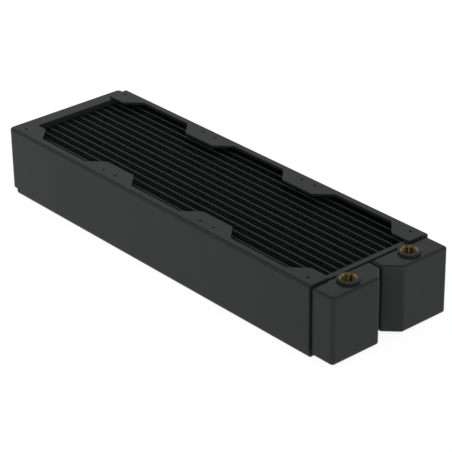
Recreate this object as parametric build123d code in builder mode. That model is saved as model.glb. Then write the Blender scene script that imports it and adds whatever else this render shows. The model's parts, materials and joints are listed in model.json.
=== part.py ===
from build123d import *
import math
import os

# Liquid cooling radiator for three 120 mm fans, in millimetres.
# +Z is up, +X points at the two port tanks, and the origin is the centre of the
# bounding box at its underside. The radiator is a mirror image of itself across
# the XZ plane, and its two fan faces are alike, so the near side is -Y.

# Overall size
LENGTH = 394.5
WIDTH = 122.0
HEIGHT = 60.0
HALF_WIDTH = WIDTH / 2

# Side panels: folded sheet with a fan flange along the top and the bottom
SHEET = 2.0
BEND_RADIUS = 2.5
PANEL_LEFT = -187.2
PANEL_RIGHT = 174.3
TAB_REACH = 20.0
FLANGE_REACH = 7.0
TAB_TIP_RADIUS = 2.5
TAB_ROOT_RADIUS = 1.5
PANEL_CORNER_RADIUS = 1.0

# Fan fixing holes: the standard square of a 120 mm fan, tapped M3
FAN_PITCH = 120.0
FAN_COUNT = 3
FAN_CENTRE_X = -8.0
FAN_HOLE_SPACING = 105.0
FAN_TAP_RADIUS = 1.25

# Fan windows between the tabs: the X range in which each fan's flange is narrow
WINDOW_RANGES = ((-155.8, -97.9), (-38.1, 21.3), (81.2, 142.8))

# Header pans: the slotted plates that carry the tubes' ends
HEADER_DEPTH = 4.5
HEADER_WALL = 1.5
RETURN_HEADER_LEFT = -187.8
PORT_HEADER_RIGHT = 173.1

# Tanks
TANK_WIDTH = WIDTH - 2 * SHEET
TANK_HEIGHT = HEIGHT - 2 * SHEET
TANK_WALL = 1.5
TANK_EDGE_RADIUS = 3.0
TANK_RIM_RADIUS = 2.0
RETURN_CORNER_RADIUS = 4.0
PORT_TANK_LEFT = 175.6
PORT_TANK_GAP = 2.0
PORT_TANK_CHAMFER = 11.7

# G1/4 port collars: the bore is the thread's minor diameter
PORT_X = 184.1
PORT_Y = 31.2
COLLAR_RADIUS = 8.8
COLLAR_SPIGOT_RADIUS = 6.95
COLLAR_DEPTH = 10.0
COLLAR_EDGE = 0.3
PORT_MINOR_RADIUS = 5.7225
PORT_LEAD_IN = 0.9

# Core: two rows of flat tubes with a corrugated fin strip in each gap
TUBE_COUNT = 14
TUBE_PITCH = 8.07
TUBE_THICKNESS = 1.6
TUBE_DEPTH = 23.0
TUBE_WALL = 0.25
TUBE_ROW_GAP = 2.4
TUBE_END = 1.0
FIN_PERIOD = 2.8
FIN_PERIODS = 125
FIN_SHEET = 0.1
FIN_DEPTH = 47.9

# Places worked out from the sizes above
MID_HEIGHT = HEIGHT / 2
RETURN_PLATE_OUTER = RETURN_HEADER_LEFT + HEADER_DEPTH - HEADER_WALL
RETURN_PLATE_INNER = RETURN_HEADER_LEFT + HEADER_DEPTH
PORT_PLATE_INNER = PORT_HEADER_RIGHT - HEADER_DEPTH
PORT_PLATE_OUTER = PORT_PLATE_INNER + HEADER_WALL
CORE_MIDDLE_X = (RETURN_PLATE_INNER + PORT_PLATE_INNER) / 2
FIRST_TUBE_Y = -(TUBE_COUNT - 1) * TUBE_PITCH / 2
TUBE_ROW_OFFSET = (TUBE_DEPTH + TUBE_ROW_GAP) / 2
TUBE_ROWS = {"upper": MID_HEIGHT + TUBE_ROW_OFFSET, "lower": MID_HEIGHT - TUBE_ROW_OFFSET}
TUBE_LEFT = RETURN_PLATE_OUTER - TUBE_END
TUBE_RIGHT = PORT_PLATE_OUTER + TUBE_END
PAN_INNER_WIDTH = TANK_WIDTH - 2 * HEADER_WALL
PAN_INNER_HEIGHT = TANK_HEIGHT - 2 * HEADER_WALL
PAN_INNER_RADIUS = TANK_EDGE_RADIUS - HEADER_WALL


def save(solid, name):
    """Label a finished piece and write its STEP file."""
    solid.label = name
    export_step(solid, f"parts/{name}.step")


def tube_y(index):
    """Y of a tube's middle plane, counted from the near side."""
    return FIRST_TUBE_Y + index * TUBE_PITCH


def side_panel(side):
    """Folded C-shaped side panel; side is -1 for the near one and 1 for the far one."""
    tip_y = side * (HALF_WIDTH - TAB_REACH)
    root_y = side * (HALF_WIDTH - FLANGE_REACH)
    outer_y = side * HALF_WIDTH
    hole_y = side * FAN_HOLE_SPACING / 2
    # The tabs' sides slope at 45 degrees.
    slope = TAB_REACH - FLANGE_REACH
    fans = [FAN_CENTRE_X + (n - (FAN_COUNT - 1) / 2) * FAN_PITCH for n in range(FAN_COUNT)]

    with BuildPart() as panel:
        with BuildSketch(Plane.YZ.offset(PANEL_LEFT)):
            with BuildLine():
                FilletPolyline(
                    (tip_y, 0),
                    (outer_y, 0),
                    (outer_y, HEIGHT),
                    (tip_y, HEIGHT),
                    radius=BEND_RADIUS,
                )
                offset(amount=SHEET, side=Side.LEFT if side > 0 else Side.RIGHT)
            make_face()
        extrude(amount=PANEL_RIGHT - PANEL_LEFT)
        with BuildSketch(Plane.XY):
            for window_left, window_right in WINDOW_RANGES:
                with BuildLine():
                    Polyline(
                        (window_left - slope, tip_y),
                        (window_left, root_y),
                        (window_right, root_y),
                        (window_right + slope, tip_y),
                        close=True,
                    )
                make_face()
        extrude(amount=HEIGHT, mode=Mode.SUBTRACT)
        upright = panel.edges().filter_by(Axis.Z)
        fillet(upright.filter_by(lambda e: abs(e.center().Y - root_y) < 0.01), TAB_ROOT_RADIUS)
        tips = panel.edges().filter_by(Axis.Z).filter_by(lambda e: abs(e.center().Y - tip_y) < 0.01)
        fillet(tips.filter_by(lambda e: PANEL_LEFT + 1 < e.center().X < PANEL_RIGHT - 1), TAB_TIP_RADIUS)
        tips = panel.edges().filter_by(Axis.Z).filter_by(lambda e: abs(e.center().Y - tip_y) < 0.01)
        fillet(tips.group_by(Axis.X)[0] + tips.group_by(Axis.X)[-1], PANEL_CORNER_RADIUS)
        hole_places = [
            (fan_x + step, hole_y, HEIGHT)
            for fan_x in fans
            for step in (-FAN_HOLE_SPACING / 2, FAN_HOLE_SPACING / 2)
        ]
        with Locations(*hole_places):
            Hole(radius=FAN_TAP_RADIUS)
    return panel.part


def header_pan(rim_x, plate_outer, plate_inner):
    """Shallow pan with tube slots; its rim points away from the core."""
    with BuildPart() as pan:
        with BuildSketch(Plane.YZ.offset(plate_inner)):
            with Locations((0, MID_HEIGHT)):
                RectangleRounded(TANK_WIDTH, TANK_HEIGHT, TANK_EDGE_RADIUS)
        extrude(amount=rim_x - plate_inner)
        with BuildSketch(Plane.YZ.offset(plate_outer)):
            with Locations((0, MID_HEIGHT)):
                RectangleRounded(PAN_INNER_WIDTH, PAN_INNER_HEIGHT, PAN_INNER_RADIUS)
        extrude(amount=rim_x - plate_outer, mode=Mode.SUBTRACT)
        with BuildSketch(Plane.YZ.offset(plate_inner)):
            for row_z in TUBE_ROWS.values():
                with Locations(*[(tube_y(n), row_z) for n in range(TUBE_COUNT)]):
                    SlotOverall(TUBE_DEPTH, TUBE_THICKNESS, rotation=90)
        extrude(amount=plate_outer - plate_inner, mode=Mode.SUBTRACT)
    return pan.part


def return_tank():
    """Closed tank that joins the two halves of the core at the -X end."""
    left = -LENGTH / 2
    inner_left = left + TANK_WALL
    inner_width = PAN_INNER_WIDTH - 2 * TANK_WALL
    inner_height = PAN_INNER_HEIGHT - 2 * TANK_WALL
    with BuildPart() as tank:
        with BuildSketch(Plane.XY.offset(SHEET)):
            with Locations(((left + RETURN_HEADER_LEFT) / 2, 0)):
                Rectangle(RETURN_HEADER_LEFT - left, TANK_WIDTH)
        extrude(amount=TANK_HEIGHT)
        fillet(tank.edges().filter_by(Axis.Z).group_by(Axis.X)[0], RETURN_CORNER_RADIUS)
        level = tank.faces().filter_by(Axis.Z).edges()
        fillet(level.filter_by(lambda e: e.center().X < RETURN_HEADER_LEFT - 0.1), TANK_RIM_RADIUS)
        with BuildSketch(Plane.YZ.offset(RETURN_HEADER_LEFT)):
            with Locations((0, MID_HEIGHT)):
                RectangleRounded(PAN_INNER_WIDTH, PAN_INNER_HEIGHT, PAN_INNER_RADIUS)
        extrude(amount=RETURN_PLATE_OUTER - RETURN_HEADER_LEFT)
        with BuildSketch(Plane.YZ.offset(inner_left)):
            with Locations((0, MID_HEIGHT)):
                Rectangle(inner_width, inner_height)
        extrude(amount=RETURN_PLATE_OUTER - inner_left, mode=Mode.SUBTRACT)
    return tank.part


def port_tank(side):
    """One of the two port tanks, with a cut-back inner corner and a hole for its collar."""
    right = LENGTH / 2
    gap_y = side * PORT_TANK_GAP / 2
    outer_y = side * TANK_WIDTH / 2
    neck_outer_y = side * PAN_INNER_WIDTH / 2
    inner_gap_y = gap_y + side * TANK_WALL
    inner_right = right - TANK_WALL
    # Moving a 45 degree face inwards by one wall shortens its legs by this much.
    inner_chamfer = PORT_TANK_CHAMFER - TANK_WALL * (2 - math.sqrt(2))

    with BuildPart() as tank:
        with BuildSketch(Plane.XY.offset(SHEET)):
            with BuildLine():
                Polyline(
                    (PORT_TANK_LEFT, gap_y),
                    (right - PORT_TANK_CHAMFER, gap_y),
                    (right, gap_y + side * PORT_TANK_CHAMFER),
                    (right, outer_y),
                    (PORT_TANK_LEFT, outer_y),
                    close=True,
                )
            make_face()
        extrude(amount=TANK_HEIGHT)
        upright = tank.edges().filter_by(Axis.Z)
        fillet(upright.filter_by(lambda e: e.center().X > PORT_TANK_LEFT + 1), TANK_EDGE_RADIUS)
        level = tank.faces().filter_by(Axis.Z).edges()
        fillet(level.filter_by(lambda e: e.center().X > PORT_TANK_LEFT + 1), TANK_RIM_RADIUS)
        with BuildSketch(Plane.YZ.offset(PORT_PLATE_OUTER)):
            with Locations(((gap_y + neck_outer_y) / 2, MID_HEIGHT)):
                Rectangle(abs(neck_outer_y - gap_y), PAN_INNER_HEIGHT)
            corners = vertices().filter_by(lambda v: abs(v.X - neck_outer_y) < 0.01)
            fillet(corners, PAN_INNER_RADIUS)
        extrude(amount=PORT_TANK_LEFT - PORT_PLATE_OUTER)
        with BuildSketch(Plane.YZ.offset(PORT_PLATE_OUTER)):
            with Locations(((gap_y + neck_outer_y) / 2, MID_HEIGHT)):
                Rectangle(abs(neck_outer_y - gap_y) - 2 * TANK_WALL, PAN_INNER_HEIGHT - 2 * TANK_WALL)
        extrude(amount=PORT_TANK_LEFT + TANK_WALL - PORT_PLATE_OUTER, mode=Mode.SUBTRACT)
        with BuildSketch(Plane.XY.offset(SHEET + TANK_WALL)):
            with BuildLine():
                Polyline(
                    (PORT_TANK_LEFT + TANK_WALL, inner_gap_y),
                    (inner_right - inner_chamfer, inner_gap_y),
                    (inner_right, inner_gap_y + side * inner_chamfer),
                    (inner_right, outer_y - side * TANK_WALL),
                    (PORT_TANK_LEFT + TANK_WALL, outer_y - side * TANK_WALL),
                    close=True,
                )
            make_face()
        extrude(amount=TANK_HEIGHT - 2 * TANK_WALL, mode=Mode.SUBTRACT)
        with BuildSketch(Plane.XY.offset(HEIGHT - SHEET - TANK_WALL)):
            with Locations((PORT_X, side * PORT_Y)):
                Circle(COLLAR_SPIGOT_RADIUS)
        extrude(amount=TANK_WALL, mode=Mode.SUBTRACT)
    return tank.part


def port_collar(side):
    """Brass G1/4 bush: a flange on the tank's top and a spigot through its wall."""
    tank_top = HEIGHT - SHEET
    with BuildPart() as collar:
        with BuildSketch(Plane.XY.offset(HEIGHT - COLLAR_DEPTH)):
            with Locations((PORT_X, side * PORT_Y)):
                Circle(COLLAR_SPIGOT_RADIUS)
        extrude(amount=tank_top - (HEIGHT - COLLAR_DEPTH))
        with BuildSketch(Plane.XY.offset(tank_top)):
            with Locations((PORT_X, side * PORT_Y)):
                Circle(COLLAR_RADIUS)
        extrude(amount=SHEET)
        chamfer(collar.faces().sort_by(Axis.Z)[-1].edges(), COLLAR_EDGE)
        with Locations((PORT_X, side * PORT_Y, HEIGHT)):
            Hole(radius=PORT_MINOR_RADIUS)
        mouth = collar.edges().filter_by(GeomType.CIRCLE).sort_by(SortBy.RADIUS)
        top_mouth = mouth.filter_by(lambda e: e.radius < PORT_MINOR_RADIUS + 0.01).sort_by(Axis.Z)[-1]
        chamfer(top_mouth, PORT_LEAD_IN)
    return collar.part


def flat_tube(index, row_z):
    """Hollow flat tube with rounded edges, reaching just through both header plates."""
    with BuildPart() as tube:
        with BuildSketch(Plane.YZ.offset(TUBE_LEFT)):
            with Locations((tube_y(index), row_z)):
                SlotOverall(TUBE_DEPTH, TUBE_THICKNESS, rotation=90)
                SlotOverall(
                    TUBE_DEPTH - 2 * TUBE_WALL,
                    TUBE_THICKNESS - 2 * TUBE_WALL,
                    rotation=90,
                    mode=Mode.SUBTRACT,
                )
        extrude(amount=TUBE_RIGHT - TUBE_LEFT)
    return tube.part


def fin_strip(low_y, high_y):
    """Sheet folded into a zigzag whose folds touch the surfaces at low_y and high_y."""
    half_period = FIN_PERIOD / 2
    # A slanted wall measures more along Y than through its thickness.
    sheet_along_y = FIN_SHEET * math.hypot(half_period, high_y - low_y) / half_period
    start_x = CORE_MIDDLE_X - half_period * FIN_PERIODS
    high_face = []
    for fold in range(2 * FIN_PERIODS + 1):
        fold_y = high_y if fold % 2 else low_y + sheet_along_y
        high_face.append((start_x + fold * half_period, fold_y))
    low_face = [(x, y - sheet_along_y) for x, y in reversed(high_face)]

    with BuildPart() as strip:
        with BuildSketch(Plane.XY.offset(MID_HEIGHT - FIN_DEPTH / 2)):
            with BuildLine():
                Polyline(*high_face, *low_face, close=True)
            make_face()
        extrude(amount=FIN_DEPTH)
    return strip.part


def fin_gaps():
    """Pairs of facing surfaces that hold a fin strip, from the near panel to the far one."""
    panel_inner = HALF_WIDTH - SHEET
    faces = [-panel_inner]
    for n in range(TUBE_COUNT):
        faces.append(tube_y(n) - TUBE_THICKNESS / 2)
        faces.append(tube_y(n) + TUBE_THICKNESS / 2)
    faces.append(panel_inner)
    return list(zip(faces[0::2], faces[1::2]))


os.makedirs("parts", exist_ok=True)

save(side_panel(-1), "side_panel_near")
save(side_panel(1), "side_panel_far")
save(header_pan(PORT_HEADER_RIGHT, PORT_PLATE_OUTER, PORT_PLATE_INNER), "port_header")
save(header_pan(RETURN_HEADER_LEFT, RETURN_PLATE_OUTER, RETURN_PLATE_INNER), "return_header")
save(return_tank(), "return_tank")
save(port_tank(-1), "inlet_tank")
save(port_tank(1), "outlet_tank")
save(port_collar(-1), "inlet_port_collar")
save(port_collar(1), "outlet_port_collar")

for row_name, row_height in TUBE_ROWS.items():
    for number in range(TUBE_COUNT):
        save(flat_tube(number, row_height), f"tube_{row_name}_{number + 1:02d}")

for number, (low, high) in enumerate(fin_gaps()):
    save(fin_strip(low, high), f"fin_strip_{number + 1:02d}")
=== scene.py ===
"""Looks of the liquid cooling radiator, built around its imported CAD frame, in metres."""

import json
import math

import bpy
import numpy as np
from mathutils import Matrix, Vector


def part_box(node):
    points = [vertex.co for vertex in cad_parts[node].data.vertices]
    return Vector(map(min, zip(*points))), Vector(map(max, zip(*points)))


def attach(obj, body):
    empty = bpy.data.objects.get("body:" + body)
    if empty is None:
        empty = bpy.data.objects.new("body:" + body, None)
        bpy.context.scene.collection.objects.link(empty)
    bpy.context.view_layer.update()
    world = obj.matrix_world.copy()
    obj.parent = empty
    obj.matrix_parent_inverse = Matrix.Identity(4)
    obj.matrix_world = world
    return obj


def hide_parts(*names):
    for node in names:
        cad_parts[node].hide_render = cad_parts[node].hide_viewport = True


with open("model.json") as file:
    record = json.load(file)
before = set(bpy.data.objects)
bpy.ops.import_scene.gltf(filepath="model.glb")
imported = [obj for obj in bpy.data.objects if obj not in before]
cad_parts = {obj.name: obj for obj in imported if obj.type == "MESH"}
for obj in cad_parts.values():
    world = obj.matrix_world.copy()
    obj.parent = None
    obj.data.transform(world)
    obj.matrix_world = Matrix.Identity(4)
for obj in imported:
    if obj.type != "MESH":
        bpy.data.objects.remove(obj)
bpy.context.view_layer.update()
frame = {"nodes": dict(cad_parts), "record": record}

nodes = frame["nodes"]
MM = 0.001

# Camera: a long lens looking down on the port end from the near side, angles in degrees
CAMERA_AZIMUTH = 49.426
CAMERA_ELEVATION = 27.603
CAMERA_ROLL = -0.847
CAMERA_DISTANCE = 1.6007
CAMERA_TARGET = Vector((0.0087, 0.0036, 0.0218))
CAMERA_LENS = 159.84
SENSOR = 36.0

# Fin strips: sheet folded back and forth along X between two tubes
FIN_PERIOD = 2.8 * MM
FIN_SHEET = 0.16 * MM
FIN_LOW_CREST = 0.15 * MM
FIN_HIGH_CREST = 0.60 * MM
FIN_CREST_STEPS = 6
FIN_LEAN = -0.16
FIN_SMOOTH_ANGLE = 50

# Port collars: a flanged bush with a G1/4 thread cut outwards from the CAD's bore
THREAD_MAJOR_RADIUS = 6.5785 * MM
THREAD_MINOR_RADIUS = 5.7225 * MM
THREAD_PITCH = 1.337 * MM
THREAD_FLAT = 0.12
THREAD_ROWS_PER_TURN = 10
COLLAR_STEPS = 96
COLLAR_MOUTH_RADIUS = 6.55 * MM
COLLAR_SPIGOT_RADIUS = 6.95 * MM
COLLAR_EDGE = 0.3 * MM
COLLAR_SMOOTH_ANGLE = 20

# Black paint of the panels, headers, tanks and collar flanges: two shades of one colour
PAINT_DARK = (0.0160, 0.0184, 0.0173)
PAINT_LIGHT = (0.0177, 0.0204, 0.0192)
PAINT_ROUGHNESS = 0.17
PAINT_SPECULAR = 0.10
PAINT_IOR = 1.5
PAINT_GLOSS_SPREAD = 0.04
PAINT_CLOUD_SIZE = 38 * MM
PAINT_SPECKLE_SIZE = 0.9 * MM
PAINT_PEEL_SIZE = 0.7 * MM
PAINT_PEEL_DEPTH = 0.006 * MM

# Black paint on the core's tubes, a little lighter and greener than on the housing
CORE_DARK = (0.0134, 0.0222, 0.0206)
CORE_LIGHT = (0.0153, 0.0250, 0.0232)
CORE_ROUGHNESS = 0.25
CORE_SPECULAR = 0.16

# Fin paint: the fins' own colour on their outer edges, fading over this depth into painted shade, near
# black, deep in the core
FIN_PAINTED_SHADE = (0.0008, 0.0016, 0.0014)
FIN_EDGE = (0.0102, 0.0176, 0.0158)
FIN_ROUGHNESS = 0.45
FIN_SPECULAR = 0.10
FIN_GLOSS_SPREAD = 0.05
FIN_SHADE_FADE_DEPTH = 0.3 * MM
FIN_SPECKLE_SIZE = 1.2 * MM
FIN_GRAIN_SIZE = 0.5 * MM
FIN_GRAIN_DEPTH = 0.008 * MM

# Bare brass inside the ports
BRASS_TARNISHED = (0.20, 0.135, 0.050)
BRASS_BRIGHT = (0.30, 0.21, 0.085)
BRASS_ROUGHNESS_RANGE = (0.23, 0.35)
BRASS_TARNISH_SIZE = 2.5 * MM
BRASS_SMEAR_SIZE = 0.6 * MM
BRASS_MARK_SIZE = 1.2 * MM
BRASS_MARK_STRETCH = (0.25, 0.25, 14)
BRASS_MARK_DEPTH = 0.006 * MM

# Floor
FLOOR_RADIUS = 6.0
FLOOR_GAP = 0.05 * MM
FLOOR_GLOW = 0.86
FLOOR_TONE = 0.27
FLOOR_TONE_SPREAD = 0.02
FLOOR_CLOUD_SIZE = 0.4
FLOOR_ROUGHNESS = 0.9

# Sky, as bands of sine of the elevation and radiance
SKY_BANDS = ((0.0, 0.55), (0.34, 0.60), (0.52, 1.10), (0.74, 0.45), (1.0, 0.20))

# Softboxes, as compass angle from +X in degrees, elevation in degrees, narrowness and radiance
SOFTBOXES = (
    (214.0, 33.0, 45.0, 1.30),
    (40.6, 27.0, 22.0, 1.05),
    (112.0, 6.0, 60.0, 1.40),
    (315.0, 12.0, 10.0, 2.20),
)


# ---------------------------------------------------------------- materials


class Nodes:
    """A material's node tree, with short calls that add and join its nodes."""

    def __init__(self, name):
        self.material = bpy.data.materials.new(name)
        self.material.use_nodes = True
        self.tree = self.material.node_tree
        self.tree.nodes.clear()
        self.shader = self.add("ShaderNodeBsdfPrincipled")
        output = self.add("ShaderNodeOutputMaterial")
        self.join(self.shader.outputs["BSDF"], output.inputs["Surface"])
        self.place = self.add("ShaderNodeTexCoord").outputs["Object"]

    def add(self, kind, **settings):
        """A new node with those properties."""
        node = self.tree.nodes.new(kind)
        for name, value in settings.items():
            setattr(node, name, value)
        return node

    def join(self, source, target):
        """A link from an output socket to an input socket."""
        self.tree.links.new(source, target)

    def noise(self, size, detail=3.0, stretch=(1, 1, 1)):
        """Noise whose features are about size metres across, from 0 to 1."""
        mapping = self.add("ShaderNodeMapping")
        mapping.inputs["Scale"].default_value = [s / size for s in stretch]
        self.join(self.place, mapping.inputs["Vector"])
        texture = self.add("ShaderNodeTexNoise")
        texture.inputs["Scale"].default_value = 1.0
        texture.inputs["Detail"].default_value = detail
        texture.inputs["Roughness"].default_value = 0.5
        self.join(mapping.outputs["Vector"], texture.inputs["Vector"])
        return texture.outputs["Fac"]

    def spread(self, value, low, high):
        """A 0 to 1 value mapped to low..high."""
        node = self.add("ShaderNodeMapRange")
        node.inputs["To Min"].default_value = low
        node.inputs["To Max"].default_value = high
        self.join(value, node.inputs["Value"])
        return node.outputs["Result"]

    def between(self, value, low_colour, high_colour, start=0.35, end=0.65):
        """A colour ramp from low_colour to high_colour."""
        node = self.add("ShaderNodeValToRGB")
        node.color_ramp.elements[0].position = start
        node.color_ramp.elements[0].color = (*low_colour, 1)
        node.color_ramp.elements[1].position = end
        node.color_ramp.elements[1].color = (*high_colour, 1)
        self.join(value, node.inputs["Fac"])
        return node.outputs["Color"]

    def bump(self, height, distance):
        """A bump of that depth in metres."""
        node = self.add("ShaderNodeBump")
        node.inputs["Distance"].default_value = distance
        node.inputs["Strength"].default_value = 1.0
        self.join(height, node.inputs["Height"])
        return node.outputs["Normal"]


def paint(name, dark, light, roughness, specular):
    """Baked paint over metal: fine orange peel, slow changes of tone and gloss."""
    n = Nodes(name)
    cloud = n.noise(PAINT_CLOUD_SIZE, detail=2.0)
    speckle = n.noise(PAINT_SPECKLE_SIZE, detail=2.0)
    gloss = n.spread(speckle, roughness - PAINT_GLOSS_SPREAD, roughness + PAINT_GLOSS_SPREAD)
    n.join(n.between(cloud, dark, light), n.shader.inputs["Base Color"])
    n.join(gloss, n.shader.inputs["Roughness"])
    peel = n.noise(PAINT_PEEL_SIZE, detail=1.0)
    n.join(n.bump(peel, PAINT_PEEL_DEPTH), n.shader.inputs["Normal"])
    n.shader.inputs["IOR"].default_value = PAINT_IOR
    n.shader.inputs["Specular IOR Level"].default_value = specular
    return n.material


def fin_paint_and_shade(name, strip):
    """Fin paint in the fins' own colour on their outer edges, darkening to painted shade deep in the core.
    """
    n = Nodes(name)
    low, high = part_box(strip)
    half_depth = (high.z - low.z) / 2
    split = n.add("ShaderNodeSeparateXYZ")
    n.join(n.place, split.inputs["Vector"])
    from_middle = n.add("ShaderNodeMath", operation="SUBTRACT")
    from_middle.inputs[1].default_value = (low.z + high.z) / 2
    n.join(split.outputs["Z"], from_middle.inputs[0])
    distance = n.add("ShaderNodeMath", operation="ABSOLUTE")
    n.join(from_middle.outputs[0], distance.inputs[0])
    # Painted shade: the colour goes from the fins' own paint at the core's faces to near black further in.
    shade_fade = n.add("ShaderNodeMapRange")
    shade_fade.inputs["From Min"].default_value = half_depth - FIN_SHADE_FADE_DEPTH
    shade_fade.inputs["From Max"].default_value = half_depth
    n.join(distance.outputs[0], shade_fade.inputs["Value"])
    n.join(n.between(shade_fade.outputs["Result"], FIN_PAINTED_SHADE, FIN_EDGE, 0.0, 1.0), n.shader.inputs["Base Color"])
    speckle = n.noise(FIN_SPECKLE_SIZE)
    gloss = n.spread(speckle, FIN_ROUGHNESS - FIN_GLOSS_SPREAD, FIN_ROUGHNESS + FIN_GLOSS_SPREAD)
    n.join(gloss, n.shader.inputs["Roughness"])
    n.join(n.bump(n.noise(FIN_GRAIN_SIZE, detail=1.0), FIN_GRAIN_DEPTH), n.shader.inputs["Normal"])
    n.shader.inputs["Specular IOR Level"].default_value = FIN_SPECULAR
    return n.material


def brass(name):
    """Turned brass: fine marks round the bore and a slight tarnish."""
    n = Nodes(name)
    tarnish = n.noise(BRASS_TARNISH_SIZE, detail=4.0)
    n.join(n.between(tarnish, BRASS_TARNISHED, BRASS_BRIGHT), n.shader.inputs["Base Color"])
    n.join(n.spread(n.noise(BRASS_SMEAR_SIZE), *BRASS_ROUGHNESS_RANGE), n.shader.inputs["Roughness"])
    marks = n.noise(BRASS_MARK_SIZE, detail=2.0, stretch=BRASS_MARK_STRETCH)
    n.join(n.bump(marks, BRASS_MARK_DEPTH), n.shader.inputs["Normal"])
    n.shader.inputs["Metallic"].default_value = 1.0
    return n.material


# ---------------------------------------------------------------- mesh pieces


def piece(name, vertices, faces, materials, smooth_angle, face_materials=None):
    """A mesh object riding on the radiator's one body."""
    mesh = bpy.data.meshes.new(name)
    mesh.from_pydata(vertices, [], faces)
    for material in materials:
        mesh.materials.append(material)
    if face_materials is not None:
        mesh.polygons.foreach_set("material_index", face_materials)
    mesh.validate()
    made = bpy.data.objects.new(name, mesh)
    bpy.context.scene.collection.objects.link(made)
    mesh.polygons.foreach_set("use_smooth", [True] * len(mesh.polygons))
    mesh.set_sharp_from_angle(angle=math.radians(smooth_angle))
    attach(made, "root")
    return made


def fold_line(start_x, folds, low_y, high_y):
    """Middle line of a fin strip: straight walls joined by round folds."""
    half = FIN_PERIOD / 2
    # A wall is the crossing tangent of its two folds' circles, so both arcs turn alike.
    rise = high_y - low_y - FIN_LOW_CREST - FIN_HIGH_CREST
    reach = math.hypot(half, rise)
    half_arc = math.pi - math.acos((FIN_LOW_CREST + FIN_HIGH_CREST) / reach) - math.atan2(half, rise)
    points = []
    for fold in range(folds + 1):
        up = fold % 2 == 1
        crest = FIN_HIGH_CREST if up else FIN_LOW_CREST
        y_sign = 1 if up else -1
        x = start_x + fold * half
        centre_y = high_y - crest if up else low_y + crest
        first = 0.0 if fold == 0 else -half_arc
        last = 0.0 if fold == folds else half_arc
        for step in range(FIN_CREST_STEPS + 1):
            angle = first + (last - first) * step / FIN_CREST_STEPS
            y = centre_y + y_sign * crest * math.cos(angle)
            lean = FIN_LEAN * (y - (low_y + high_y) / 2)
            points.append((x + crest * math.sin(angle) + lean, y))
    return points


def thicken(line, thickness):
    """The two outlines at half a sheet either side of a middle line."""
    line = np.array(line)
    along = np.gradient(line, axis=0)
    along /= np.linalg.norm(along, axis=1)[:, None]
    across = np.stack([-along[:, 1], along[:, 0]], axis=1) * thickness / 2
    return line + across, line - across


def fin_strip(node, material):
    """A folded fin strip with round folds, in place of the CAD's sharp zigzag."""
    low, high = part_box(node)
    folds = 2 * round((high.x - low.x) / FIN_PERIOD)
    line = fold_line(
        (low.x + high.x) / 2 - folds * FIN_PERIOD / 4,
        folds,
        low.y + FIN_SHEET / 2,
        high.y - FIN_SHEET / 2,
    )
    left, right = thicken(line, FIN_SHEET)
    count = len(line)
    vertices = []
    for z in (low.z, high.z):
        for side in (left, right):
            vertices += [(x, y, z) for x, y in side]
    # Corner rows: bottom left 0, bottom right 1, top left 2, top right 3
    faces = []
    for i in range(count - 1):
        for a, b in ((0, 2), (3, 1), (2, 3), (1, 0)):
            faces.append((a * count + i, b * count + i, b * count + i + 1, a * count + i + 1))
    for i in (0, count - 1):
        cap = (i, count + i, 3 * count + i, 2 * count + i)
        faces.append(cap if i == 0 else cap[::-1])
    made = piece(node + "_folded", vertices, faces, [material], FIN_SMOOTH_ANGLE)
    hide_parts(node)


def thread_radius(turn, z):
    """Radius of the bore at a height and a share of a turn: a V thread with small flats."""
    phase = (z / THREAD_PITCH - turn) % 1.0
    slope = (abs(2 * phase - 1) - THREAD_FLAT) / (1 - 2 * THREAD_FLAT)
    return THREAD_MINOR_RADIUS + (THREAD_MAJOR_RADIUS - THREAD_MINOR_RADIUS) * min(max(slope, 0.0), 1.0)


def collar_rows(low_z, high_z, seat_z, outer):
    """Rings of (radius, z) up the threaded bore and down the outside, and the bore's count."""
    rows = []
    thread_rows = round((high_z - low_z) / THREAD_PITCH * THREAD_ROWS_PER_TURN)
    for row in range(thread_rows + 1):
        z = low_z + (high_z - low_z) * row / thread_rows
        mouth = COLLAR_MOUTH_RADIUS - (high_z - z)
        rows.append([(max(thread_radius(s / COLLAR_STEPS, z), mouth), z) for s in range(COLLAR_STEPS)])
    # The middle of the flange's rounded edge lies this far inside its corner.
    inset = COLLAR_EDGE * (1 - math.sqrt(0.5))
    for radius, z in (
        (outer - COLLAR_EDGE, high_z),
        (outer - inset, high_z - inset),
        (outer, high_z - COLLAR_EDGE),
        (outer, seat_z),
        (COLLAR_SPIGOT_RADIUS, seat_z),
        (COLLAR_SPIGOT_RADIUS, low_z),
    ):
        rows.append([(radius, z)] * COLLAR_STEPS)
    return rows, thread_rows


def port_collar(node, tank, outside, inside):
    """The threaded brass bush of one port, painted outside and bare inside."""
    low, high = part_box(node)
    seat_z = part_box(tank)[1].z
    centre = (low + high) / 2
    rows, inside_rows = collar_rows(low.z, high.z, seat_z, (high.x - low.x) / 2)
    vertices = []
    for row in rows:
        for step, (radius, z) in enumerate(row):
            angle = 2 * math.pi * step / COLLAR_STEPS
            vertices.append((centre.x + radius * math.cos(angle), centre.y + radius * math.sin(angle), z))
    faces = []
    face_materials = []
    for r in range(len(rows)):
        here = r * COLLAR_STEPS
        above = (r + 1) % len(rows) * COLLAR_STEPS
        for s in range(COLLAR_STEPS):
            after = (s + 1) % COLLAR_STEPS
            faces.append((here + s, above + s, above + after, here + after))
            face_materials.append(1 if r < inside_rows else 0)
    made = piece(node + "_threaded", vertices, faces, [outside, inside], COLLAR_SMOOTH_ANGLE, face_materials)
    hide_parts(node)


# ---------------------------------------------------------------- the radiator

black_paint = paint("black_paint", PAINT_DARK, PAINT_LIGHT, PAINT_ROUGHNESS, PAINT_SPECULAR)
core_paint = paint("core_paint", CORE_DARK, CORE_LIGHT, CORE_ROUGHNESS, CORE_SPECULAR)
# The fin paint holds painted shade: darker deep in the core than at its faces.
fin_paint = fin_paint_and_shade("fin_paint", "fin_strip_08")
port_brass = brass("port_brass")

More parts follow.
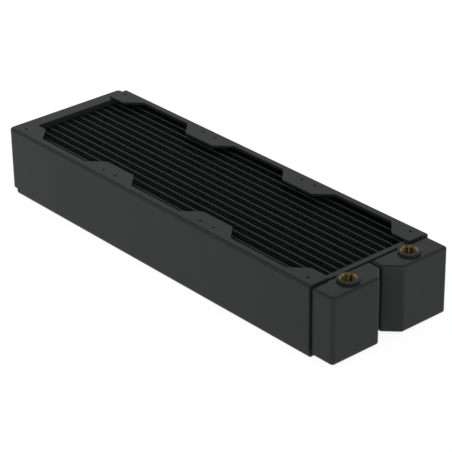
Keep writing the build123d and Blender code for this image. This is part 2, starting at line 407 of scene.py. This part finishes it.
materials = {
    "black_paint": black_paint,
    "core_paint": core_paint,
    "fin_paint": fin_paint,
    "port_brass": port_brass,
}
for subpart in frame["record"]["subparts"]:
    node = nodes[subpart["node"]]
    node.data.materials.clear()
    node.data.materials.append(materials[subpart["material_slot"]])

for name in sorted(nodes):
    if name.startswith("fin_strip"):
        fin_strip(name, fin_paint)
port_collar("inlet_port_collar", "inlet_tank", black_paint, port_brass)
port_collar("outlet_port_collar", "outlet_tank", black_paint, port_brass)


# ---------------------------------------------------------------- studio


def floor():
    """A plain pale floor that glows a little, like a light table."""
    mesh = bpy.data.meshes.new("floor")
    r = FLOOR_RADIUS
    z = -FLOOR_GAP
    mesh.from_pydata([(-r, -r, z), (r, -r, z), (r, r, z), (-r, r, z)], [], [(0, 1, 2, 3)])
    made = bpy.data.objects.new("floor", mesh)
    bpy.context.scene.collection.objects.link(made)
    n = Nodes("pale_floor")
    cloud = n.noise(FLOOR_CLOUD_SIZE, detail=2.0)
    dark = (FLOOR_TONE - FLOOR_TONE_SPREAD,) * 3
    light = (FLOOR_TONE + FLOOR_TONE_SPREAD,) * 3
    n.join(n.between(cloud, dark, light), n.shader.inputs["Base Color"])
    n.shader.inputs["Roughness"].default_value = FLOOR_ROUGHNESS
    n.shader.inputs["Emission Color"].default_value = (1, 1, 1, 1)
    n.shader.inputs["Emission Strength"].default_value = FLOOR_GLOW
    mesh.materials.append(n.material)


def softbox(tree, direction, towards, elevation, narrowness, glow):
    """The light of one soft round lamp, as a function of the direction looked in."""
    level = math.cos(math.radians(elevation))
    dot = tree.nodes.new("ShaderNodeVectorMath")
    dot.operation = "DOT_PRODUCT"
    dot.inputs[1].default_value = (
        math.cos(math.radians(towards)) * level,
        math.sin(math.radians(towards)) * level,
        math.sin(math.radians(elevation)),
    )
    tree.links.new(direction, dot.inputs[0])
    # Directions behind the softbox count as zero, or an even power would light them too.
    ahead = tree.nodes.new("ShaderNodeMath")
    ahead.operation = "MAXIMUM"
    ahead.inputs[1].default_value = 0.0
    tree.links.new(dot.outputs["Value"], ahead.inputs[0])
    lobe = tree.nodes.new("ShaderNodeMath")
    lobe.operation = "POWER"
    lobe.inputs[1].default_value = narrowness
    tree.links.new(ahead.outputs[0], lobe.inputs[0])
    scaled = tree.nodes.new("ShaderNodeMath")
    scaled.operation = "MULTIPLY"
    scaled.inputs[1].default_value = glow
    tree.links.new(lobe.outputs[0], scaled.inputs[0])
    return scaled.outputs[0]


def sky():
    """Soft white light from all round, brighter in four broad softboxes."""
    world = bpy.data.worlds.new("studio")
    bpy.context.scene.world = world
    world.use_nodes = True
    tree = world.node_tree
    background = tree.nodes["Background"]
    direction = tree.nodes.new("ShaderNodeTexCoord").outputs["Generated"]
    split = tree.nodes.new("ShaderNodeSeparateXYZ")
    tree.links.new(direction, split.inputs[0])
    ramp = tree.nodes.new("ShaderNodeValToRGB")
    ramp.color_ramp.interpolation = "B_SPLINE"
    while len(ramp.color_ramp.elements) < len(SKY_BANDS):
        ramp.color_ramp.elements.new(1.0)
    for element, (height, tone) in zip(ramp.color_ramp.elements, SKY_BANDS):
        element.position = height
        element.color = (tone, tone, tone, 1)
    tree.links.new(split.outputs["Z"], ramp.inputs["Fac"])
    total = ramp.outputs["Color"]
    for lamp in SOFTBOXES:
        add = tree.nodes.new("ShaderNodeMixRGB")
        add.blend_type = "ADD"
        add.inputs["Fac"].default_value = 1.0
        tree.links.new(total, add.inputs["Color1"])
        tree.links.new(softbox(tree, direction, *lamp), add.inputs["Color2"])
        total = add.outputs["Color"]
    tree.links.new(total, background.inputs["Color"])
    background.inputs["Strength"].default_value = 1.0


def camera():
    """A fixed camera aimed at CAMERA_TARGET from CAMERA_DISTANCE away."""
    azimuth = math.radians(CAMERA_AZIMUTH)
    elevation = math.radians(CAMERA_ELEVATION)
    level = math.cos(elevation)
    back = Vector((math.sin(azimuth) * level, -math.cos(azimuth) * level, math.sin(elevation)))
    data = bpy.data.cameras.new("camera")
    data.lens = CAMERA_LENS
    data.sensor_width = SENSOR
    made = bpy.data.objects.new("camera", data)
    bpy.context.scene.collection.objects.link(made)
    made.location = CAMERA_TARGET + back * CAMERA_DISTANCE
    aim = (-back).to_track_quat("-Z", "Y").to_matrix()
    roll = Matrix.Rotation(math.radians(CAMERA_ROLL), 3, "Z")
    made.rotation_euler = (aim @ roll).to_euler()
    bpy.context.scene.camera = made


floor()
sky()
camera()
bpy.context.scene.view_settings.view_transform = "Standard"
